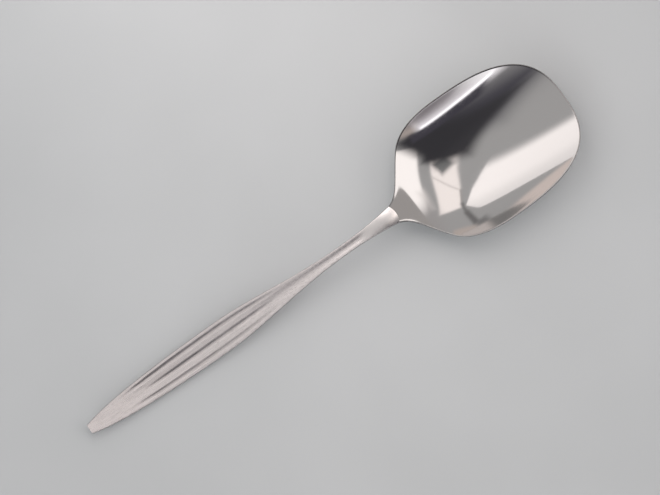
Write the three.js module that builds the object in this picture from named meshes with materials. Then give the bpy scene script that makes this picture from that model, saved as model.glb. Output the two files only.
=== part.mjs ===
import * as THREE from 'three';

// Potato serving spoon, in millimetres. X runs along the spoon with the lip at +X, Y runs across it,
// and the table is at Z = 0. The middle of the spoon's length and width is at the origin.

// Lengths along the spoon
const overall_length = 215;
const bowl_length = 77.5;
const lip_to_widest = 40.5;
const crest_to_heel = 32;
const crest_to_shoulder = 14;
const crest_to_waist = 21.5;
const end_to_leaf = 59;
const end_to_low = 38.5;
const corner_radius = 0.7;

// Widths
const bowl_width = 52.6;
const shoulder_width = 37.9;
const crest_width = 7.4;
const waist_width = 4.1;
const handle_width = 12;
const end_width = 4;

// Heights
const bowl_depth = 14.6;
const crest_height = 9;
const lip_rise = 7.3;
const end_lift = 1.6;

// Metal thickness
const bowl_thickness = 1.2;
const crest_thickness = 2.4;
const waist_thickness = 3.2;
const handle_thickness = 2.2;
const end_thickness = 1.8;
const thinning_run = 19;

// Flat ground under the bowl, taken off the lowest place of its round underside
const rest_flat_depth = 0.3;

// Shape of the bowl
const lip_squareness = 2.7;
const shoulder_angle = 52;
const floor_skew = 0.75;
const trough_run_in = 14.5;
const lip_flattening = 0.25;
const crest_slope = 0.13;

// Three flutes along the handle, between edges that fall away. Sizes are those where the handle is widest.
const edge_width = 1.1;
const edge_drop = 0.6;
const belly_rise = 0.8;
const outer_flute_depth = 0.45;
const middle_flute_depth = 0.3;
const end_to_outer_flutes = 10;
const outer_flutes_to_crest = 16.5;
const end_to_middle_flute = 23;
const middle_flute_to_crest = 52;
const flute_fade = 11;

// Places along the spoon, measured from the end of the handle
const crest = overall_length - bowl_length;
const widest = overall_length - lip_to_widest;
const heel = crest + crest_to_heel;
const waist = crest - crest_to_waist;

// Places across the spoon, as parts of its half width: rows on each edge and rows on each flute
const ridge = 1 - edge_width / (handle_width / 2);
const flute = (2 * ridge) / 3;
const edge_rows = 2;
const flute_rows = 6;
const across_places = [
  ...Array.from({ length: edge_rows }, (_, i) => -1 + (i * (1 - ridge)) / edge_rows),
  ...Array.from({ length: 3 * flute_rows + 1 }, (_, i) => -ridge + (i * flute) / flute_rows),
  ...Array.from({ length: edge_rows }, (_, i) => ridge + ((i + 1) * (1 - ridge)) / edge_rows),
];

const { lerp, smoothstep, degToRad } = THREE.MathUtils;
const point = (along, half_width) => new THREE.Vector2(along, half_width);

// The half outline of the handle: a cut end with rounded corners, a leaf and a slim waist
function handle_outline() {
  const half_end = end_width / 2;
  const half_leaf = handle_width / 2;
  const half_waist = waist_width / 2;
  const corner = new THREE.QuadraticBezierCurve(
    point(0, half_end - corner_radius), point(0, half_end), point(corner_radius, half_end));
  const leaf = new THREE.CubicBezierCurve(
    point(corner_radius, half_end), point(0.2 * end_to_leaf, lerp(half_end, half_leaf, 0.77)),
    point(0.625 * end_to_leaf, half_leaf), point(end_to_leaf, half_leaf));
  const taper = new THREE.CubicBezierCurve(
    point(end_to_leaf, half_leaf), point(lerp(end_to_leaf, waist, 0.335), half_leaf),
    point(lerp(end_to_leaf, waist, 0.57), half_waist), point(waist, half_waist));
  const neck = new THREE.CubicBezierCurve(
    point(waist, half_waist), point(lerp(waist, crest, 0.4), half_waist),
    point(lerp(waist, crest, 0.76), lerp(half_waist, crest_width / 2, 0.49)), point(crest, crest_width / 2));
  return joined([corner, leaf, taper, neck], [3, 15, 17, 8]);
}

// The half outline of the bowl: a flare out of the neck, a round shoulder and a squarish round lip
function bowl_outline() {
  const half = bowl_width / 2;
  const back = widest - crest;
  const slant = point(Math.cos(degToRad(shoulder_angle)), Math.sin(degToRad(shoulder_angle)));
  const shoulder = point(crest + crest_to_shoulder, shoulder_width / 2);
  const flare = new THREE.CubicBezierCurve(
    point(crest, crest_width / 2), point(crest + 0.15 * back, crest_width / 2 + 0.054 * half),
    shoulder.clone().addScaledVector(slant, -0.24 * back), shoulder);
  const side = new THREE.CubicBezierCurve(
    shoulder, shoulder.clone().addScaledVector(slant, 0.18 * back),
    point(widest - 0.3 * back, half), point(widest, half));
  return [...joined([flare, side], [9, 11]), ...lip_outline(half).slice(1)];
}

// The front quarter: a superellipse from the widest place to the middle of the lip
function lip_outline(half) {
  const steps = 18;
  const power = 2 / lip_squareness;
  return Array.from({ length: steps + 1 }, (_, i) => {
    const turn = (Math.PI / 2) * (i / steps);
    const half_width = i === steps ? 0 : half * Math.cos(turn) ** power;
    return point(widest + lip_to_widest * Math.sin(turn) ** power, half_width);
  });
}

function joined(curves, steps) {
  const runs = curves.map((curve, i) => curve.getPoints(steps[i]));
  return runs.flatMap((run, i) => (i === 0 ? run : run.slice(1)));
}

// Height of the upper face along the middle line
function middle_height(along) {
  const heel_height = bowl_thickness - rest_flat_depth;
  if (along > heel) {
    return heel_height + lip_rise * ((along - heel) / (overall_length - heel)) ** 1.6;
  }
  if (along > crest) {
    const part = ((along - crest) / crest_to_heel) ** floor_skew;
    return lerp(crest_height, heel_height, part * part * (3 - 2 * part));
  }
  if (along > end_to_low) {
    const part = (along - end_to_low) / (crest - end_to_low);
    const rise = lerp(handle_thickness, crest_height, part * part * (3 - 2 * part));
    return rise + crest_slope * (crest - end_to_low) * part * part * (part - 1);
  }
  return handle_thickness + end_lift * (1 - along / end_to_low) ** 2;
}

// Curvature of the trough across the bowl, flatter towards the lip
function trough(along) {
  const opening = smoothstep(along, crest, crest + trough_run_in);
  const flattening = 1 - lip_flattening * smoothstep(along, lerp(crest, heel, 0.7), overall_length);
  return bowl_depth / (bowl_width / 2) ** 2 * opening * flattening;
}

// Part of its full depth that a flute has between its start and its end
function flute_strength(along, start, end) {
  const inlet = smoothstep(along, start, start + flute_fade);
  return inlet * (1 - smoothstep(along, end - flute_fade, end));
}

// Depth of the fluting below the ridges, which narrows with the handle
function fluting(along, across, half_width) {
  const number = Math.abs(across) < ridge ? Math.round(across / flute) : 0;
  const strength = number === 0
    ? middle_flute_depth * flute_strength(along, end_to_middle_flute, crest - middle_flute_to_crest)
    : outer_flute_depth * flute_strength(along, end_to_outer_flutes, crest - outer_flutes_to_crest);
  const hollow = Math.max(1 - ((across - number * flute) / (flute / 2)) ** 2, 0);
  const edge = Math.max(Math.abs(across) - ridge, 0) / (1 - ridge);
  const drop = edge_drop * edge * (1 - smoothstep(along, waist, crest));
  return (strength * hollow + drop) * half_width / (handle_width / 2);
}

function upper_face(along, across, half_width) {
  if (along <= crest) {
    return middle_height(along) - fluting(along, across, half_width);
  }
  return middle_height(along) + trough(along) * (across * half_width) ** 2;
}

// Metal thickness along the middle line
function thickness(along) {
  if (along > crest) {
    return lerp(crest_thickness, bowl_thickness, smoothstep(along, crest, crest + thinning_run));
  }
  if (along > waist) {
    return lerp(waist_thickness, crest_thickness, smoothstep(along, waist, crest));
  }
  if (along > end_to_low) {
    return lerp(handle_thickness, waist_thickness, smoothstep(along, end_to_low, waist));
  }
  return lerp(end_thickness, handle_thickness, along / end_to_low);
}

// The handle has a round underside. The bowl keeps its thickness square to its slope.
function lower_face(along, across, half_width) {
  if (along <= crest) {
    const belly = belly_rise * half_width / (handle_width / 2) * (1 - smoothstep(along, waist, crest));
    return middle_height(along) - thickness(along) + belly * across ** 2;
  }
  const slope_across = 2 * trough(along) * across * half_width;
  const reach = 0.01;
  const slope_along = (middle_height(along + reach) - middle_height(along)) / reach;
  const steepness = Math.hypot(1, slope_across, slope_along);
  const settled = smoothstep(along, crest, crest + thinning_run);
  const under = upper_face(along, across, half_width) - thickness(along) * lerp(1, steepness, settled);
  return Math.max(under, 0);
}

// A closed solid between the two faces, inside a half outline mirrored across the middle line
function solid(outline) {
  const rows = (face) => outline.map((station) => across_places.map((across) => {
    const height = face(station.x, across, station.y);
    return new THREE.Vector3(station.x - overall_length / 2, across * station.y, height);
  }));
  const columns = across_places.length - 1;
  const upper = rows(upper_face);
  const lower = rows(lower_face);
  const corners = [];
  const triangle = (...three) => {
    if (new THREE.Triangle(...three).getArea() > 1e-9) corners.push(...three);
  };
  const quad = (a, b, c, d) => {
    triangle(a, b, c);
    triangle(a, c, d);
  };
  const last = outline.length - 1;
  for (let i = 0; i < last; i += 1) {
    for (let j = 0; j < columns; j += 1) {
      quad(upper[i][j], upper[i + 1][j], upper[i + 1][j + 1], upper[i][j + 1]);
      quad(lower[i][j], lower[i][j + 1], lower[i + 1][j + 1], lower[i + 1][j]);
    }
    quad(lower[i][0], lower[i + 1][0], upper[i + 1][0], upper[i][0]);
    quad(upper[i][columns], upper[i + 1][columns], lower[i + 1][columns], lower[i][columns]);
  }
  for (let j = 0; j < columns; j += 1) {
    quad(lower[0][j], upper[0][j], upper[0][j + 1], lower[0][j + 1]);
    quad(lower[last][j], lower[last][j + 1], upper[last][j + 1], upper[last][j]);
  }
  const geometry = new THREE.BufferGeometry().setFromPoints(corners);
  geometry.computeVertexNormals();
  return geometry;
}

function piece(name, outline, color, roughness) {
  const material = new THREE.MeshStandardMaterial({ color, roughness, metalness: 1 });
  const mesh = new THREE.Mesh(solid(outline), material);
  mesh.name = name;
  return mesh;
}

const spoon = new THREE.Group();
spoon.name = 'potato_serving_spoon';
spoon.add(piece('bowl', bowl_outline(), 0xd6d4d2, 0.1));
spoon.add(piece('handle', handle_outline(), 0xc6c0bd, 0.35));

export default spoon;
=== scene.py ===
# %% [markdown]
# # A steel serving spoon on a studio table
#
# A potato spoon is pressed from stainless steel. Its wide bowl is polished like a mirror, and its handle
# is brushed along its length. A mirror shows the room rather than itself, so this lesson has two halves:
# two surfaces that are true enough to reflect well, and a small studio to reflect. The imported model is
# loaded first. It fixes the size and the place of everything that follows.

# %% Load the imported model
from math import comb

import bmesh
import bpy
import numpy as np
from mathutils import Matrix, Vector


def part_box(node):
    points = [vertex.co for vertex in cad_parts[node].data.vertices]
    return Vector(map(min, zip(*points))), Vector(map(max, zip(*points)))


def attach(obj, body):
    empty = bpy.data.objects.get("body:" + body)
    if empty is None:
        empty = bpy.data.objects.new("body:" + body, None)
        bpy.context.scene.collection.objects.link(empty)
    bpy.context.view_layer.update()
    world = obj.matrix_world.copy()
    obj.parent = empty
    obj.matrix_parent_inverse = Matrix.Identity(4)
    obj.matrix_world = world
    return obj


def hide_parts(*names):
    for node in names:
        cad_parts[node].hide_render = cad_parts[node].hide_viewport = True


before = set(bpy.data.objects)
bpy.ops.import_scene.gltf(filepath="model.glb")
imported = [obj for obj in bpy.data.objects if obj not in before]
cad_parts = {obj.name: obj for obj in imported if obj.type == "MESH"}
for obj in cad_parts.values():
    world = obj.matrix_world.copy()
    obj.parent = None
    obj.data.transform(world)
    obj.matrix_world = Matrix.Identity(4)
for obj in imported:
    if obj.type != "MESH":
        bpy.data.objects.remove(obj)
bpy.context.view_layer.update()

print("packed nodes:", sorted(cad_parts))

# %% [markdown]
# ## The camera
#
# The photograph looks almost straight down, with the spoon lying askew. Turning the camera, and not the
# spoon, keeps every later size in the spoon's own frame: X along it, Y across it, Z up from the table.
# The distance and the long lens were found by laying the spoon's outline over the photograph.

# %% Place the camera
view_turn = np.radians(-35.1)
view_height = np.radians(85.94)
view_distance = 0.7
look_at = np.array([0.0041, 0.0040, 0.005])
focal_length_mm = 102.75
sensor_width_mm = 36

picture_right = np.array([np.cos(view_turn), np.sin(view_turn), 0])
towards_camera = np.array([
    np.sin(view_turn) * np.cos(view_height),
    -np.cos(view_turn) * np.cos(view_height),
    np.sin(view_height)])
picture_up = np.cross(towards_camera, picture_right)

camera_data = bpy.data.cameras.new("camera")
camera_data.lens = focal_length_mm
camera_data.sensor_width = sensor_width_mm
camera_data.sensor_fit = "HORIZONTAL"
camera = bpy.data.objects.new("camera", camera_data)
bpy.context.scene.collection.objects.link(camera)
turned = Matrix(np.column_stack([picture_right, picture_up, towards_camera]).tolist()).to_4x4()
camera.matrix_world = Matrix.Translation((look_at + view_distance * towards_camera).tolist()) @ turned
bpy.context.scene.camera = camera
print("camera stands at", tuple(round(v, 4) for v in camera.location))

# %% [markdown]
# ## Places along the spoon
#
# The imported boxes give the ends: where the handle stops, where the bowl starts, and where the lip is.
# The other places are distances from those, named as a maker would name them. The crest is the sharp
# line where the neck tips over into the bowl, and the heel is the lowest place of the bowl's floor.

# %% Measure the places along the spoon
bowl_low, bowl_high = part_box("bowl")
handle_low, handle_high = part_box("handle")
end_x = handle_low.x
crest_x = bowl_low.x
lip_x = bowl_high.x
bowl_half = bowl_high.y
leaf_half = handle_high.y
widest_x = lip_x - 0.0405
heel_x = crest_x + 0.0315
waist_x = crest_x - 0.0215
leaf_x = end_x + 0.059
low_x = end_x + 0.0385
print(f"handle {1000 * (crest_x - end_x):.1f} mm long, bowl {1000 * (lip_x - crest_x):.1f} mm long")

# %% [markdown]
# ## Curves from a few points
#
# An outline needs few points if each stretch is a Bezier curve. The curves are worked out densely and
# then walked at even steps, because an even grid gives even shading. Smoothstep is the other tool here:
# it passes from 0 to 1 with no corner at either end, so one form can melt into the next.

# %% Helpers for curves
def smoothstep(value, start, end):
    """Three squares less two cubes of the share of the way from start to end."""
    share = np.clip((value - start) / (end - start), 0, 1)
    return share * share * (3 - 2 * share)


def between(first, last, share):
    """The value that lies this share of the way from first to last."""
    return first + (last - first) * share


def bezier(*points, count=400):
    """Points of a Bezier curve: the corners, each weighted by its Bernstein polynomial."""
    share = np.linspace(0, 1, count)
    order = len(points) - 1
    weights = [comb(order, k) * share**k * (1 - share) ** (order - k) for k in range(order + 1)]
    return np.transpose(weights) @ np.array(points)


def even_steps(curve, count):
    """The same curve, with its points moved to equal distances along it."""
    walked = np.concatenate([[0], np.cumsum(np.hypot(*np.diff(curve, axis=0).T))])
    stops = np.linspace(0, walked[-1], count)
    return np.column_stack([np.interp(stops, walked, curve[:, 0]), np.interp(stops, walked, curve[:, 1])])


def both_sides(half):
    """A whole outline from its half: along the +Y side to the tip and back along the -Y side."""
    return np.concatenate([half, half[-2::-1] * [1, -1]])


# %% [markdown]
# ## The outline of the bowl
#
# Seen from above the bowl flares out of the neck, runs round a shoulder and ends in a lip that is nearer
# to a rounded square than to a circle. The lip is a quarter of a superellipse, the curve between an
# ellipse and a box. Two Bezier curves make the flare and the side, so only the shoulder is given.
# A pull says how far along its stretch the control point of such a curve lies.

# %% Draw the outline of the bowl
crest_half = 0.0037
shoulder = np.array([crest_x + 0.014, 0.01895])
shoulder_angle = np.radians(52)
lip_squareness = 2.7
crest_pull = (0.15, 0.054)
flare_pull = 0.24
side_pull = 0.18
widest_pull = 0.3
back_run = widest_x - crest_x
slant = np.array([np.cos(shoulder_angle), np.sin(shoulder_angle)]) * back_run


def lip_quarter(count=4000):
    """A superellipse: the sine and the cosine of a quarter turn, both to the power 2 / squareness."""
    turn = np.linspace(0, np.pi / 2, count)
    power = 2 / lip_squareness
    forward = np.sin(turn) ** power
    sideways = np.cos(turn).clip(0) ** power
    return np.column_stack([widest_x + (lip_x - widest_x) * forward, bowl_half * sideways])


flare = bezier(
    (crest_x, crest_half), (crest_x + crest_pull[0] * back_run, crest_half + crest_pull[1] * bowl_half),
    shoulder - flare_pull * slant, shoulder)
side = bezier(
    shoulder, shoulder + side_pull * slant,
    (widest_x - widest_pull * back_run, bowl_half), (widest_x, bowl_half))
bowl_steps = 270
bowl_outline = both_sides(even_steps(np.concatenate([flare, side[1:], lip_quarter()[1:]]), bowl_steps))
print("bowl outline:", len(bowl_outline), "points")

# %% [markdown]
# ## The faces of the bowl
#
# The bowl is a trough: along its middle it drops from the crest to the heel and climbs to the lip, and
# across it each section rises by even powers of the place across, which steepen the walls and then ease
# them towards the rim. The height is one formula of the place on the plan, which keeps the mirror free of
# dents. The metal keeps its thickness square to its slope, so steep walls are thicker when measured
# straight down. The underside is ground flat where the spoon rests.

# %% Work out the faces of the bowl
bowl_depth = 0.0138
crest_height = 0.013
bowl_metal = 0.0012
crest_metal = 0.0024
rest_flat_depth = 0.0003
heel_height = bowl_metal - rest_flat_depth
floor_power = 2.2
lip_rise = 0.0095
lip_power = 1.8
lip_softness = 0.12
trough_run_in = 0.0095
wall_terms = (0.52, 0.70, -0.315)
lip_flattening = 0.12
flattening_x = crest_x + 0.0225
neck_crown = 0.00028
thinning_run = 0.019
slope_step = 1e-5


def soft_climb(share):
    """A power of the share, with its start rounded so that the floor has no crease at the heel."""
    rounded = (share**2 + lip_softness**2) ** (lip_power / 2)
    lowest = lip_softness**lip_power
    return (rounded - lowest) / ((1 + lip_softness**2) ** (lip_power / 2) - lowest)


def bowl_middle(x):
    """Height along the middle: a power curve down from the crest to the heel, then a climb to the lip."""
    down = np.clip((x - crest_x) / (heel_x - crest_x), 0, 1)
    up = np.clip((x - heel_x) / (lip_x - heel_x), 0, None)
    return heel_height + (crest_height - heel_height) * (1 - down) ** floor_power + lip_rise * soft_climb(up)


def opening(x):
    """How far the trough has opened behind the crest: 1 less the cube of what is left of its run."""
    return 1 - (1 - np.clip((x - crest_x) / trough_run_in, 0, 1)) ** 3


def bowl_hollow(x):
    """How fast the section across the bowl rises: none at the crest, a little less again at the lip."""
    flattening = 1 - lip_flattening * smoothstep(x, flattening_x, lip_x)
    return bowl_depth * opening(x) * flattening


def bowl_upper(x, y, share):
    """Height of the inner face: the middle line, even powers of the place across, less the neck's crown."""
    sideways = (y / bowl_half) ** 2
    hollow, steepening, easing = wall_terms
    section = sideways * (hollow + sideways * (steepening + sideways * easing))
    crown = neck_crown * (1 - opening(x)) * (y / crest_half) ** 2
    return bowl_middle(x) + bowl_hollow(x) * section - crown


def bowl_lower(x, y, share):
    """Height of the outer face: the inner one less the metal, square to the slope, and never below 0."""
    rise_x = bowl_upper(x + slope_step, y, share) - bowl_upper(x - slope_step, y, share)
    rise_y = bowl_upper(x, y + slope_step, share) - bowl_upper(x, y - slope_step, share)
    steepness = np.sqrt(1 + (rise_x**2 + rise_y**2) / (2 * slope_step) ** 2)
    settled = smoothstep(x, crest_x, crest_x + thinning_run)
    metal = between(crest_metal, bowl_metal, settled)
    return np.maximum(bowl_upper(x, y, share) - metal * between(1, steepness, settled), 0)


print(f"upper face {1000 * bowl_middle(heel_x):.2f} mm above the table at the heel")

# %% [markdown]
# ## A skin that closes round the rim
#
# Both pieces are sheets with two faces and a rounded rim. A plain grid across the spoon would bunch up
# at the lip, so the grid fans out instead: each row is a ray from a point on the spine to a point on the
# outline. Along a ray the skin runs over the upper face, round the rim and back over the lower face.
# The rim is two short curves, each tangent to a face and upright at the outline.

# %% Make a closed skin on a grid of rays
def skin_grid(outline, spine, upper, lower, rim_width, face_steps, rim_steps):
    """Points on a grid of rays by places along each ray: upper face, rim, and lower face back again.

    A face point lies a share of the way from the spine to the outline. A rim curve is a quadratic
    Bezier curve from the face's edge, towards the face carried on to the outline, to half way down.
    """
    rim_x, rim_y = outline[:, :1], outline[:, 1:]
    spine = spine[:, None]
    edge = 1 - rim_width / np.hypot(rim_x - spine, rim_y)
    share = np.linspace(0, 1, face_steps) * edge
    turn = (np.arange(rim_steps) + 0.5) / rim_steps
    start, pull, stop = (1 - turn) ** 2, 2 * turn * (1 - turn), turn**2
    middle = (upper(rim_x, rim_y, 1) + lower(rim_x, rim_y, 1)) / 2

    def place(share):
        return spine + share * (rim_x - spine), share * rim_y

    halves = []
    for face in (upper, lower):
        height = face(*place(share), share)
        rim_share = start * edge + (pull + stop)
        rim_height = start * height[:, -1:] + pull * face(rim_x, rim_y, 1) + stop * middle
        x, y = place(np.hstack([share, rim_share]))
        halves.append(np.stack([x, y, np.hstack([height, rim_height])], axis=-1))
    return np.concatenate([halves[0], halves[1][:, ::-1]], axis=1)


def grid_quads(corner):
    """The four point numbers of each square of a grid of point numbers."""
    squares = (corner[:-1, :-1], corner[1:, :-1], corner[1:, 1:], corner[:-1, 1:])
    return np.stack(squares, axis=-1).reshape(-1, 4)


def skin_faces(rows, columns):
    """Quads of the grid, and quads that cap its open end between the two faces of the first and last ray."""
    corner = np.arange(rows * columns).reshape(rows, columns)
    half = columns // 2
    over, under = corner[[0, -1], :half], corner[[0, -1], :half - 1:-1]
    caps = np.stack([over[:, :-1], over[:, 1:], under[:, 1:], under[:, :-1]], axis=-1)
    caps[1] = caps[1, :, ::-1]
    return np.concatenate([grid_quads(corner), caps.reshape(-1, 4)])


# %% [markdown]
# The grid becomes a mesh in one call. Rays of the two sides share their points on the spine, so those are
# merged. The volume tells whether the faces point outwards: it is negative if they point in. Shading is
# smooth except at edges sharper than a set angle, which are the edges of the cap between the two pieces.

# %% Turn a grid into a piece
crease_angle = np.radians(40)
merge_distance = 1e-7


def new_mesh(name, points, faces, **marks):
    """A mesh of points and faces, with named marks that hold a value at each point."""
    mesh = bpy.data.meshes.new(name)
    mesh.from_pydata(points.reshape(-1, 3).tolist(), [], faces.tolist())
    for mark, values in marks.items():
        attribute = mesh.attributes.new(mark, "FLOAT", "POINT")
        attribute.data.foreach_set("value", values.ravel().astype(np.float32))
    return mesh


def new_object(name, mesh):
    """An object that shows this mesh, at the origin of the scene."""
    made = bpy.data.objects.new(name, mesh)
    bpy.context.scene.collection.objects.link(made)
    return made


def make_piece(name, grid, **marks):
    """A closed, smooth mesh object from a grid of points, with marks that hold a value at each point."""
    rows, columns, _ = grid.shape
    mesh = new_mesh(name, grid, skin_faces(rows, columns), **marks)
    work = bmesh.new()
    work.from_mesh(mesh)
    bmesh.ops.remove_doubles(work, verts=work.verts, dist=merge_distance)
    if work.calc_volume(signed=True) < 0:
        bmesh.ops.reverse_faces(work, faces=work.faces)
    open_edges = sum(not edge.is_manifold for edge in work.edges)
    volume = work.calc_volume(signed=True)
    work.to_mesh(mesh)
    work.free()
    mesh.shade_smooth()
    mesh.set_sharp_from_angle(angle=crease_angle)
    print(f"{name}: {len(mesh.polygons)} faces, {open_edges} open edges, {volume * 1e6:.2f} ml of steel")
    return new_object(name, mesh)


# %% [markdown]
# ## The crest stands forward
#
# The crest is not straight across: its middle stands a little towards the bowl, as metal does that is bent
# over a rounded tool. Both pieces are made as if it were straight, and then their points near the crest are
# moved along the spoon. The outline stays where it is, because the move fades to nothing at the sides.

# %% Move the crest forward
crest_bulge = 0.001
bulge_run = 0.010
least_width = 1e-6


def stand_forward(grid, outline):
    """The grid moved along X: a square law of the place across, times a smoothstep away from the crest."""
    half = outline[:(len(outline) + 1) // 2]
    half = half[np.argsort(half[:, 0])]
    x, y = grid[..., 0], grid[..., 1]
    share = np.clip(np.abs(y) / np.interp(x, half[:, 0], half[:, 1]).clip(least_width), 0, 1)
    step = crest_bulge * (1 - share**2) * (1 - smoothstep(np.abs(x - crest_x), 0, bulge_run))
    return grid + step[..., None] * np.array([1, 0, 0])


# %% [markdown]
# ## The bowl
#
# On the inside of the lip the rays fan out from a stretch of the spine that stops well short of it.
# Up to the heel each ray runs straight across. Past it the foot of the ray lags behind by a square law,
# which keeps the rays from crossing. The rim is marked, so that the finish can lay painted shade on it.

# %% Make the bowl
bowl_rim = 0.0007
fan_reach = 0.02
bowl_face_steps = 62
bowl_rim_steps = 7
lag = np.clip(bowl_outline[:, 0] - heel_x, 0, None) / (lip_x - heel_x)
bowl_spine = bowl_outline[:, 0] - fan_reach * lag**2
bowl_grid = skin_grid(
    bowl_outline, bowl_spine, bowl_upper, bowl_lower, bowl_rim, bowl_face_steps, bowl_rim_steps)


def rim_mark(grid, face_steps):
    """1 at the outermost place of each ray, falling to 0 where the rim meets the two faces."""
    outermost = (grid.shape[1] - 1) / 2
    from_face = (np.arange(grid.shape[1]) - face_steps + 1) / (outermost - face_steps + 1)
    return np.broadcast_to(np.clip(1 - np.abs(1 - from_face), 0, 1), grid.shape[:2])


bowl = make_piece(
    "bowl_shell", stand_forward(bowl_grid, bowl_outline), rim=rim_mark(bowl_grid, bowl_face_steps))

# %% [markdown]
# ## The outline of the handle
#
# The handle is a long leaf: a small cut end with rounded corners, a swelling, a slim waist and a neck that
# opens towards the bowl. Three Bezier curves carry it, and they meet where the leaf is widest and where
# the waist is slimmest, both times with no corner.

# %% Draw the outline of the handle
end_half = 0.002
waist_half = 0.00205
corner_radius = 0.0007
leaf_swell = (0.2, 0.77)
leaf_settling = 0.625
taper_pulls = (0.335, 0.57)
neck_pull = 0.4
neck_spread = (0.76, 0.49)
leaf_run = leaf_x - end_x

cut_end = np.array([[end_x, 0], [end_x, end_half - corner_radius]])
corner = bezier((end_x, end_half - corner_radius), (end_x, end_half), (end_x + corner_radius, end_half))
leaf = bezier(
    (end_x + corner_radius, end_half),
    (end_x + leaf_swell[0] * leaf_run, between(end_half, leaf_half, leaf_swell[1])),
    (end_x + leaf_settling * leaf_run, leaf_half), (leaf_x, leaf_half))
taper = bezier(
    (leaf_x, leaf_half), (between(leaf_x, waist_x, taper_pulls[0]), leaf_half),
    (between(leaf_x, waist_x, taper_pulls[1]), waist_half), (waist_x, waist_half))
neck = bezier(
    (waist_x, waist_half), (between(waist_x, crest_x, neck_pull), waist_half),
    (between(waist_x, crest_x, neck_spread[0]), between(waist_half, crest_half, neck_spread[1])),
    (crest_x, crest_half))
handle_steps = 420
handle_half = np.concatenate([cut_end, corner[1:], leaf[1:], taper[1:], neck[1:]])[::-1]
handle_outline = both_sides(even_steps(handle_half, handle_steps))
print("handle outline:", len(handle_outline), "points")

# %% [markdown]
# ## The faces of the handle
#
# A shallow channel runs down the handle between flat edges, and the leaf has three grooves in it. The
# outer two are long and the middle one is short, and all three run out where the waist leaves only room
# for the channel. Each hollow has a cosine section, which meets the flat beside it with no corner, as a
# polished pressing does. The neck is the other way about: it is crowned, and falls off to both sides.
# In its last few millimetres it also tips over towards the bowl, so the crest catches the light.

# %% Work out the faces of the handle
handle_metal = 0.0022
waist_metal = 0.0032
end_metal = 0.0018
end_lift = 0.0016
crest_slope = 0.05
crest_rounding = 0.00045
rounding_run = 0.0065
belly_rise = 0.0008
edge_width = 0.0009
edge_drop = 0.00003
leaf_channel_ratio = 0.034
waist_channel_ratio = 0.108
channel_start = end_x + 0.010
channel_deepening = (end_x + 0.062, end_x + 0.090)
channel_end = crest_x - 0.0095
channel_run_out = 0.007
groove_width = 0.00255
groove_depth = 0.0002
outer_stretch = (end_x + 0.012, crest_x - 0.0455)
middle_stretch = (end_x + 0.022, crest_x - 0.0475)
fade_run = 0.018
ridge = 1 - edge_width / leaf_half
groove_half = groove_width / leaf_half / 2
outer_groove = ridge - groove_half


def handle_middle(x):
    """Height along the middle: up from the low place, over the rounding at the crest, and up to the end."""
    run = crest_x - low_x
    share = np.clip((x - low_x) / run, 0, 1)
    rise = between(handle_metal, crest_height + crest_rounding, share * share * (3 - 2 * share))
    rise = rise + crest_slope * run * share * share * (share - 1)
    ending = np.clip((low_x - x) / (low_x - end_x), 0, 1)
    rounding = np.clip(1 - (crest_x - x) / rounding_run, 0, 1)
    return rise + end_lift * ending**2 - crest_rounding * rounding**2


def strength(x, stretch):
    """Part of its full depth that a hollow has: it fades in after its start and out before its end."""
    start, end = stretch
    return smoothstep(x, start, start + fade_run) * (1 - smoothstep(x, end - fade_run, end))


def hollow(share, middle, half):
    """A cosine section: 1 in its middle and 0 at its sides."""
    return 0.5 + 0.5 * np.cos(np.pi * np.minimum(np.abs(share - middle) / half, 1))


def half_width_at(x):
    """Half the width of the handle at a place along it, read from its outline."""
    return np.interp(x, handle_half[::-1, 0], handle_half[::-1, 1])


def neck_fall(x, share):
    """How far the crowned neck falls off to its sides: a square law, fading in from the waist."""
    return neck_crown * smoothstep(x, waist_x, crest_x) * share**2


def grooves(x, share):
    """Depth of the three grooves as a part of their full depth: two outer ones and one in the middle."""
    outer = strength(x, outer_stretch) * hollow(np.abs(share), outer_groove, groove_half)
    return outer + strength(x, middle_stretch) * hollow(share, 0, groove_half)


def handle_upper(x, y, share):
    """Height of the upper face: the middle line less the channel, the grooves, the edges and the crown."""
    deepened = smoothstep(x, *channel_deepening)
    channel = half_width_at(x) * between(leaf_channel_ratio, waist_channel_ratio, deepened)
    channel = channel * smoothstep(x, channel_start, channel_start + fade_run) * hollow(share, 0, ridge)
    channel = channel * (1 - smoothstep(x, channel_end - channel_run_out, channel_end))
    edge = np.maximum(np.abs(share) - ridge, 0) / (1 - ridge)
    drop = edge_drop * edge * (1 - smoothstep(x, waist_x, crest_x))
    narrowed = (groove_depth * grooves(x, share) + drop) * half_width_at(x) / leaf_half
    return handle_middle(x) - channel - narrowed - neck_fall(x, share)


def handle_lower(x, y, share):
    """Height of the lower face: the middle line less the metal, rising to the sides as a round belly."""
    metal = between(handle_metal, waist_metal, smoothstep(x, low_x, waist_x))
    metal = metal + (crest_metal - waist_metal) * smoothstep(x, waist_x, crest_x)
    metal = metal + (end_metal - handle_metal) * np.clip((low_x - x) / (low_x - end_x), 0, 1)
    belly = belly_rise * half_width_at(x) / leaf_half * (1 - smoothstep(x, waist_x, crest_x))
    return handle_middle(x) - metal + belly * share**2 - neck_fall(x, share)


print(f"grooves {1000 * groove_width:.2f} mm wide, in a channel {2000 * ridge * leaf_half:.1f} mm wide")

# %% [markdown]
# ## The handle
#
# The rays run straight across nearly everywhere. Only at the cut end do they fan out, so that the edge's
# fall goes round the corners with them. The grooves are marked too: the belt doesn't reach their bottoms,
# and years of washing leave them darker.

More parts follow.
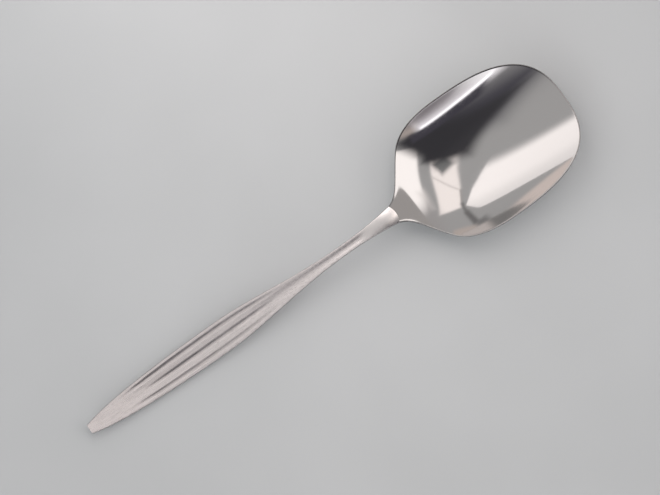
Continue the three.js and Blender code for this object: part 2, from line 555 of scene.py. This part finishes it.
# %% Make the handle
handle_rim = 0.0003
end_fan_run = 0.006
end_fan_reach = 0.0025
handle_face_steps = 48
handle_rim_steps = 5
lead = np.clip((end_x + end_fan_run - handle_outline[:, 0]) / end_fan_run, 0, 1)
handle_spine = handle_outline[:, 0] + end_fan_reach * lead**2
handle_grid = skin_grid(
    handle_outline, handle_spine, handle_upper, handle_lower, handle_rim, handle_face_steps, handle_rim_steps)


def groove_mark(grid, face_steps):
    """The depth of the grooves on the upper face, as a part of their full depth."""
    x, y = grid[..., 0], grid[..., 1]
    depth = grooves(x, np.abs(y) / half_width_at(x).clip(least_width))
    return np.where(np.arange(grid.shape[1]) < face_steps, depth, 0)


handle = make_piece(
    "handle_blade", stand_forward(handle_grid, handle_outline),
    rim=rim_mark(handle_grid, handle_face_steps), groove=groove_mark(handle_grid, handle_face_steps))

# %% [markdown]
# ## Small tools for finishes
#
# A finish is a short chain of nodes: read a place or a mark, turn it into a range, mix two colours or two
# roughnesses by it, and bend the surface a little. Each link of the chain is a function here, so that the
# finishes themselves read as a list of what was done to the steel. What both kinds of steel share is a node
# group, made once and placed in each finish with its own values.

# %% Helpers for finishes
noise_range = (0.3, 0.7)
noise_core = (0.35, 0.65)


def link(tree, source, target):
    """Join an output socket to an input socket of the same tree."""
    tree.links.new(source, target)


def new_node(tree, kind, **settings):
    """A node of this kind, with its properties set by name."""
    node = tree.nodes.new(kind)
    for key, value in settings.items():
        setattr(node, key, value)
    return node


def fill(tree, socket, value):
    """Give an input its value: another socket, a colour of three numbers, or one number."""
    if isinstance(value, bpy.types.NodeSocket):
        link(tree, value, socket)
    else:
        socket.default_value = (*value, 1) if socket.type == "RGBA" else value


def new_material(name):
    """A material with its node tree, its Principled shader and its Object coordinates."""
    material = bpy.data.materials.new(name)
    material.use_nodes = True
    tree = material.node_tree
    place = new_node(tree, "ShaderNodeTexCoord").outputs["Object"]
    return material, tree, tree.nodes["Principled BSDF"], place


def new_group(name, inputs, outputs):
    """A node group with these sockets, each a name and its kind, and the sockets as seen from inside."""
    group = bpy.data.node_groups.new(name, "ShaderNodeTree")
    for in_out, sockets in (("INPUT", inputs), ("OUTPUT", outputs)):
        for socket, kind in sockets.items():
            group.interface.new_socket(socket, in_out=in_out, socket_type=f"NodeSocket{kind}")
    print("group made:", name, "with", *inputs, "in and", *outputs, "out")
    return group, new_node(group, "NodeGroupInput").outputs, new_node(group, "NodeGroupOutput").inputs


def add_group(tree, group, **values):
    """A group placed in a finish, with a value for each of its inputs. It gives back the outputs."""
    node = new_node(tree, "ShaderNodeGroup", node_tree=group)
    for name, value in values.items():
        fill(tree, node.inputs[name], value)
    return node.outputs


def ranged(tree, value, low, high, start=0.0, end=1.0):
    """The value carried from start..end to low..high, and held at its ends."""
    node = new_node(tree, "ShaderNodeMapRange")
    for name, limit in (("From Min", start), ("From Max", end), ("To Min", low), ("To Max", high)):
        fill(tree, node.inputs[name], limit)
    link(tree, value, node.inputs["Value"])
    return node.outputs["Result"]


def mixed(tree, share, first, second, data_type="RGBA"):
    """A mix of two colours or two values, each a socket or numbers."""
    node = new_node(tree, "ShaderNodeMix", data_type=data_type)
    ends = [socket for socket in node.inputs if socket.enabled and socket.name in "AB"]
    for socket, value in zip(ends, (first, second)):
        fill(tree, socket, value)
    link(tree, share, node.inputs["Factor"])
    return next(socket for socket in node.outputs if socket.enabled)


def read_mark(tree, mark):
    """The value that a piece's points hold under this name."""
    node = new_node(tree, "ShaderNodeAttribute", attribute_name=mark)
    return node.outputs["Fac"]


def add_bump(tree, shader, height, strength, depth):
    """Bend the shader's normal by a height, with a strength and a depth in metres."""
    bump = new_node(tree, "ShaderNodeBump")
    bump.inputs["Strength"].default_value = strength
    bump.inputs["Distance"].default_value = depth
    link(tree, height, bump.inputs["Height"])
    link(tree, bump.outputs["Normal"], shader.inputs["Normal"])


# %% [markdown]
# ## Steel with lines in it
#
# Brushing and polishing both leave lines along the spoon, coarse on the handle and almost gone in the
# bowl. One node group serves both finishes: noise stretched along X, so that it varies quickly across the
# lines and slowly along them. It puts out a value only, and each finish decides what the lines do.

# %% Build the group of brushing lines
line_detail = 3
line_roughness = 0.65


def brushing_lines():
    """A group whose value is noise of the place times a count of lines per metre, along and across."""
    group, inside, outside = new_group(
        "brushing_lines", {"Place": "Vector", "Along": "Float", "Across": "Float"}, {"Line": "Float"})
    counts = new_node(group, "ShaderNodeCombineXYZ")
    stretched = new_node(group, "ShaderNodeVectorMath", operation="MULTIPLY")
    noise = new_node(group, "ShaderNodeTexNoise")
    noise.inputs["Scale"].default_value = 1
    noise.inputs["Detail"].default_value = line_detail
    noise.inputs["Roughness"].default_value = line_roughness
    link(group, inside["Along"], counts.inputs["X"])
    link(group, inside["Across"], counts.inputs["Y"])
    link(group, inside["Across"], counts.inputs["Z"])
    link(group, inside["Place"], stretched.inputs[0])
    link(group, counts.outputs["Vector"], stretched.inputs[1])
    link(group, stretched.outputs["Vector"], noise.inputs["Vector"])
    link(group, noise.outputs["Fac"], outside["Line"])
    return group


lines_group = brushing_lines()


def add_lines(tree, place, along, across):
    """Brushing lines with so many changes to the metre along the spoon and across it."""
    return add_group(tree, lines_group, Place=place, Along=along, Across=across)["Line"]


# %% [markdown]
# ## A ground edge with painted shade
#
# Round the rim the steel is ground, and neither polished nor brushed. Its darker colour there is painted
# shade:
# the dark line that the shadowed table makes along the edge. A second group serves both finishes: it carries
# a colour over to a dark tint, the painted shade, where the rim is marked. It puts out its mask too, for
# whatever else changes there.

# %% Build the group of the painted rim shade
# The tint is painted shade along the rim: the dark line of the shadowed table.
rim_shade_tint = (0.16, 0.155, 0.15)
rim_shade_strength = 0.8
rim_shade_reach = (0.05, 0.55)


def painted_rim_shade():
    """A group that lays a painted shade, a dark tint, over a colour by a mark, up to a strength."""
    group, inside, outside = new_group(
        "painted_rim_shade", {"Mark": "Float", "Colour": "Color", "Tint": "Color", "Strength": "Float"},
        {"Colour": "Color", "Mask": "Float"})
    mask = ranged(group, inside["Mark"], 0, inside["Strength"], *rim_shade_reach)
    link(group, mixed(group, mask, inside["Colour"], inside["Tint"]), outside["Colour"])
    link(group, mask, outside["Mask"])
    return group


rim_shade_group = painted_rim_shade()


def add_rim_shade(tree, colour, tint, strength):
    """The painted shade of the rim laid over a finish's colour."""
    return add_group(
        tree, rim_shade_group, Mark=read_mark(tree, "rim"), Colour=colour, Tint=tint, Strength=strength)


# %% [markdown]
# ## Polished steel for the bowl
#
# Polished stainless steel is a slightly warm mirror, which keeps about half of the light here. The lines
# of the polishing mop change its roughness a little and bend it by almost nothing, which is what tells
# the eye that it is metal and not glass. Hairlines from use are rougher still. The rim is duller than the
# faces, because an edge that is only ground takes no mirror polish, and it is darkened by painted shade.

# %% Make the polished finish
polished_colour = (0.507, 0.498, 0.494)
polish_lines = (40, 2500)
polish_roughness = (0.05, 0.11)
polish_bump = (0.05, 0.00001)
hairline_lines = (25, 7000)
hairline_band = (0.66, 0.74)
hairline_roughness = 0.22
edge_roughness = 0.25


def polished_steel():
    """The bowl's finish: mop lines, hairlines, and a duller rim, darkened by painted shade."""
    material, tree, shader, place = new_material("polished_steel")
    shader.inputs["Metallic"].default_value = 1
    lines = add_lines(tree, place, *polish_lines)
    hairlines = ranged(tree, add_lines(tree, place, *hairline_lines), 0, 1, *hairline_band)
    roughness = ranged(tree, lines, *polish_roughness, *noise_range)
    roughness = mixed(tree, hairlines, roughness, hairline_roughness, "FLOAT")
    # The rim's darker colour is painted shade; its roughness is that of a ground edge.
    edge = add_rim_shade(tree, polished_colour, rim_shade_tint, rim_shade_strength)
    link(tree, edge["Colour"], shader.inputs["Base Color"])
    roughness = mixed(tree, edge["Mask"], roughness, edge_roughness, "FLOAT")
    link(tree, roughness, shader.inputs["Roughness"])
    add_bump(tree, shader, lines, *polish_bump)
    return material


bowl.data.materials.append(polished_steel())
print("bowl finish:", bowl.data.materials[0].name)

# %% [markdown]
# ## Satin steel for the handle
#
# The handle is brushed with a belt, so its lines are long and fine. They vary its colour and its roughness,
# and they make it dull: light from a lamp spreads over a whole groove. The marks darken the bottoms of the
# grooves, and the rim is darkened by painted shade. Towards the neck the bowl's polish reaches over the
# crest, and the lines fade. A mask along X carries the one finish into the other.

# %% Make the satin finish
satin_bright = (0.88, 0.825, 0.82)
satin_dull = (0.77, 0.72, 0.715)
satin_lines = (14, 3600)
satin_roughness = (0.22, 0.36)
satin_bump = (0.15, 0.00002)
groove_tint = (0.40, 0.375, 0.37)
groove_strength = 0.35
groove_reach = (0.15, 1)
neck_colour = (0.80, 0.765, 0.755)
neck_roughness = 0.22
polish_stretch = (crest_x - 0.019, crest_x - 0.009)


def satin_steel():
    """The handle's finish: belt lines, darker grooves, painted shade on the rim, and a smoother neck."""
    material, tree, shader, place = new_material("satin_steel")
    shader.inputs["Metallic"].default_value = 1
    lines = add_lines(tree, place, *satin_lines)
    apart = new_node(tree, "ShaderNodeSeparateXYZ")
    link(tree, place, apart.inputs["Vector"])
    polish = ranged(tree, apart.outputs["X"], 0, 1, *polish_stretch)
    steel = mixed(tree, ranged(tree, lines, 0, 1, *noise_core), satin_dull, satin_bright)
    in_groove = ranged(tree, read_mark(tree, "groove"), 0, groove_strength, *groove_reach)
    steel = mixed(tree, in_groove, steel, groove_tint)
    steel = mixed(tree, polish, steel, neck_colour)
    # The rim's darker colour is painted shade.
    edge = add_rim_shade(tree, steel, rim_shade_tint, rim_shade_strength)
    link(tree, edge["Colour"], shader.inputs["Base Color"])
    roughness = ranged(tree, lines, *satin_roughness, *noise_range)
    link(tree, mixed(tree, polish, roughness, neck_roughness, "FLOAT"), shader.inputs["Roughness"])
    add_bump(tree, shader, lines, *satin_bump)
    return material


handle.data.materials.append(satin_steel())
print("handle finish:", handle.data.materials[0].name)

# %% [markdown]
# ## The table
#
# The spoon lies on a pale table that runs out of the picture on all sides. It keeps the spoon's soft shadow,
# and it is what the underside of the spoon reflects. Faint mottling and a fine grain, both noise of the
# place, give it the look of a painted board.

# %% Make the table
table_reach = 3.0
table_grey = (0.592, 0.614, 0.627)
worn_grey = (0.566, 0.588, 0.60)
table_roughness = (0.5, 0.7)
mottles_per_metre = 14
grains_per_metre = 900
grain_bump = (0.1, 0.00004)


def add_noise(tree, place, count):
    """Noise with so many swells to the metre."""
    noise = new_node(tree, "ShaderNodeTexNoise")
    noise.inputs["Scale"].default_value = count
    link(tree, place, noise.inputs["Vector"])
    return noise.outputs["Fac"]


def pale_table():
    """A flat square at height 0, with mottled colour and grained roughness and bump."""
    corners = np.array([(-1, -1, 0), (1, -1, 0), (1, 1, 0), (-1, 1, 0)]) * table_reach
    mesh = new_mesh("table_top", corners, np.array([(0, 1, 2, 3)]))
    material, tree, shader, place = new_material("pale_table")
    mottle = ranged(tree, add_noise(tree, place, mottles_per_metre), 0, 1, *noise_core)
    grain = add_noise(tree, place, grains_per_metre)
    link(tree, mixed(tree, mottle, worn_grey, table_grey), shader.inputs["Base Color"])
    link(tree, ranged(tree, grain, *table_roughness, *noise_range), shader.inputs["Roughness"])
    add_bump(tree, shader, grain, *grain_bump)
    mesh.materials.append(material)
    return new_object("table_top", mesh)


pale_table()
print(f"table {2 * table_reach:.0f} m wide")

# %% [markdown]
# ## The studio
#
# What the mirror shows is the room above the table: white cloth panels, grey gaps between them, and a side
# of the room that is left dark. It is painted on the world, on a chart that is laid out as the picture is.
# A direction that tilts so many degrees from straight up, towards the picture's right or towards its top,
# lies that many degrees right or up on the chart.

# %% Lay out the chart of the room
table_up = np.cross([0, 0, 1], picture_right)
world = bpy.data.worlds.new("studio_room")
world.use_nodes = True
room = world.node_tree


def reckon(operation, first, second=None):
    """The output of a Math node on two inputs, each a socket or a number."""
    node = new_node(room, "ShaderNodeMath", operation=operation)
    for socket, value in zip(node.inputs, (first, second)):
        if isinstance(value, bpy.types.NodeSocket):
            link(room, value, socket)
        elif value is not None:
            socket.default_value = value
    return node.outputs["Value"]


def along_direction(direction):
    """How far the looked-at direction reaches along a given one: their dot product."""
    node = new_node(room, "ShaderNodeVectorMath", operation="DOT_PRODUCT")
    node.inputs[1].default_value = direction
    link(room, looking.outputs["Generated"], node.inputs[0])
    return node.outputs["Value"]


looking = new_node(room, "ShaderNodeTexCoord")
tilt = reckon("ARCCOSINE", along_direction((0, 0, 1)))
degrees_per_level = reckon("MULTIPLY", reckon("DIVIDE", tilt, reckon("SINE", tilt)), np.degrees(1))
chart_right = reckon("MULTIPLY", along_direction(picture_right), degrees_per_level)
chart_up = reckon("MULTIPLY", along_direction(table_up), degrees_per_level)


def on_panel(right, up, half_width, half_height, turn, softness):
    """1 on a turned rectangle of the chart, 0 off it, by a smoothstep of the distance past its edges."""
    turn = np.radians(turn)
    from_right = reckon("SUBTRACT", chart_right, right)
    from_up = reckon("SUBTRACT", chart_up, up)
    wide = reckon(
        "ADD", reckon("MULTIPLY", from_right, np.cos(turn)), reckon("MULTIPLY", from_up, np.sin(turn)))
    high = reckon(
        "SUBTRACT", reckon("MULTIPLY", from_up, np.cos(turn)), reckon("MULTIPLY", from_right, np.sin(turn)))
    past_side = reckon("SUBTRACT", reckon("ABSOLUTE", wide), half_width)
    past_top = reckon("SUBTRACT", reckon("ABSOLUTE", high), half_height)
    edge = new_node(room, "ShaderNodeMapRange", interpolation_type="SMOOTHSTEP")
    edge.inputs["From Min"].default_value = softness
    edge.inputs["From Max"].default_value = -softness
    link(room, reckon("MAXIMUM", past_side, past_top), edge.inputs["Value"])
    return edge.outputs["Result"]


print("the picture's right is", picture_right.round(3), "and its top is", table_up.round(3))

# %% [markdown]
# Each row below is a panel: its middle on the chart, its half width and half height, its turn, how soft its
# edge is, and its colour, where 1 is as bright as the light that falls on the table. Later rows lie in
# front of earlier ones. The camera itself sees a plain pale background instead of the room.

# %% Paint the room
light_level = 1.1
backdrop_grey = (0.51, 0.515, 0.51)
room_grey = (0.57, 0.56, 0.555)
panels = (
    ("far_wall", 0, 82, 120, 29, 0, 3, (0.56, 0.55, 0.545)),
    ("tan_wall", -14, 87, 13, 8, 0, 3, (0.72, 0.63, 0.58)),
    ("tan_side", -53.2, 72, 8, 18, -25.5, 1.5, (0.97, 0.84, 0.78)),
    ("low_shade", 25, -52, 25, 25, 32, 30, (0.34, 0.33, 0.34)),
    ("high_cloth", 16.2, 21.5, 12.5, 30, 11, 2.2, (1.54, 1.42, 1.37)),
    ("cloth_fold", 18, 19, 14, 0.7, -22, 1, (1.0, 0.93, 0.89)),
    ("right_cloth", 64.5, 17, 21, 44, 13, 2, (1.72, 1.63, 1.59)),
    ("right_tail", 37, 38, 3, 9, 30, 5, (1.2, 1.13, 1.1)),
    ("tail_fade", 30.5, 62, 10, 20, 35.6, 11, (0.54, 0.515, 0.51)),
    ("room_corner", 75, 59, 30, 40, 43, 1.5, (0.53, 0.50, 0.485)),
    ("stand_shade", -31, 79, 5, 6, 40, 3, (0.30, 0.29, 0.29)),
    ("stand_top", -17, 66.5, 2.6, 13, 37, 2, (0.24, 0.23, 0.23)),
    ("stand_middle", -5, 49, 1.6, 8.2, 30, 1.5, (0.28, 0.27, 0.27)),
    ("stand_low", 1, 33.5, 0.9, 9, 13, 1.2, (0.42, 0.40, 0.39)),
    ("dark_fade", 22, -40, 24, 18, 0, 13, (0.10, 0.096, 0.115)),
    ("dark_bump", 20, 0.5, 7.5, 7.5, 45, 3, (0.27, 0.27, 0.27)),
    ("dark_left", 22, -22.5, 20.5, 19.5, 0, 5.5, (0.07, 0.068, 0.075)),
    ("dark_side", 42.9, -32.9, 31, 19.5, -34, 9, (0.06, 0.058, 0.065)),
    ("low_wall", 54.6, -71.6, 45, 15, 32.6, 2, (0.33, 0.30, 0.32)),
    ("tan_corner", 68, -48, 8, 3, 32.6, 3, (0.62, 0.54, 0.50)),
    ("low_glow", 46.6, -59.2, 17, 4.6, 32.6, 4.6, (1.25, 1.2, 1.25)),
    ("dark_strip", 47.2, -49.7, 19, 5.5, 32.6, 2, (0.085, 0.08, 0.1)),
    ("low_window", 46.2, -58.6, 14, 1.0, 32.6, 1.2, (2.6, 2.55, 2.65)),
    ("near_cloth", -52, -52, 25, 45, 39, 6, (1.6, 1.6, 1.6)),
    ("low_fill", 0, -79, 45, 10, 0, 6, (2.4, 2.4, 2.4)),
)

painted = room_grey
for _, *shape, colour in panels:
    painted = mixed(room, on_panel(*shape), painted, colour)
path = new_node(room, "ShaderNodeLightPath")
painted = mixed(room, path.outputs["Is Camera Ray"], painted, backdrop_grey)
link(room, painted, room.nodes["Background"].inputs["Color"])
room.nodes["Background"].inputs["Strength"].default_value = light_level
bpy.context.scene.world = world
bpy.context.scene.view_settings.view_transform = "Standard"
print("panels in the room:", [panel[0] for panel in panels])

# %% [markdown]
# ## The left cloth
#
# One cloth hangs so close to the bowl that the handle sees it elsewhere in the sky. A painted sky can't do
# that, so this cloth is a real sheet: a patch of a sphere round the bowl, laid out on the same chart, with
# one corner cut off. Its glow fades in from its lower edge, and dims towards its far end and its top. The
# camera looks through it.

# %% Hang the left cloth
cloth_distance = 0.24
cloth_right = (-62, -8.5)
cloth_up = (3, 54)
cloth_steps = (40, 24)
cut_corner = (15, 10)
cloth_glow = (1.66, 1.57, 1.54)
cloth_fade = 9
far_end_glow = 0.8
top_glow = 0.75
top_dimming = (30, 52)


def chart_direction(right, up):
    """The direction that lies so many degrees right and up on the chart."""
    tilt = np.radians(np.hypot(right, up))[..., None]
    level = (right[..., None] * picture_right + up[..., None] * table_up) / np.degrees(tilt)
    return np.sin(tilt) * level + np.cos(tilt) * np.array([0, 0, 1])


def cloth_chart():
    """Places on the chart: even steps between the cloth's sides, and from its foot to its slanting top."""
    right, share = np.meshgrid(*(np.linspace(*ends, count) for ends, count in
                                 zip((cloth_right, (0, 1)), cloth_steps)), indexing="ij")
    cut_run, cut_drop = cut_corner
    top = cloth_up[1] - cut_drop * np.clip((right - cloth_right[1]) / cut_run + 1, 0, 1)
    return right, between(cloth_up[0], top, share)


def cloth_brightness(right, up):
    """A smoothstep up from the foot, times a dimming to the far end and a dimming to the top."""
    foot = smoothstep(up, cloth_up[0], cloth_up[0] + cloth_fade)
    far_end = between(1, far_end_glow, smoothstep(-right, -cloth_right[1], -cloth_right[0]))
    return foot * far_end * between(1, top_glow, smoothstep(up, *top_dimming))


def left_cloth():
    """The chart's places, carried out to the cloth's distance from the bowl and made to glow."""
    right, up = cloth_chart()
    middle = np.array([(crest_x + lip_x) / 2, 0, heel_height])
    places = middle + cloth_distance * chart_direction(right, up)
    quads = grid_quads(np.arange(right.size).reshape(right.shape))
    mesh = new_mesh("left_cloth", places, quads, glow=cloth_brightness(right, up))
    material, tree, shader, _ = new_material("glowing_cloth")
    shader.inputs["Base Color"].default_value = (0, 0, 0, 1)
    link(tree, mixed(tree, read_mark(tree, "glow"), room_grey, cloth_glow), shader.inputs["Emission Color"])
    shader.inputs["Emission Strength"].default_value = light_level
    mesh.materials.append(material)
    cloth = new_object("left_cloth", mesh)
    cloth.visible_camera = False
    return cloth


left_cloth()
print(f"left cloth {1000 * cloth_distance:.0f} mm from the bowl")

# %% [markdown]
# ## The pieces on the frame
#
# Each piece is hung on the root body, and the imported node that it stands for is hidden. The looks may
# never outgrow the imported model.

# %% Tie the pieces to the frame
for piece, node, slot_name in ((bowl, "bowl", "polished_steel"), (handle, "handle", "satin_steel")):
    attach(piece, "root")
    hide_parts(node)
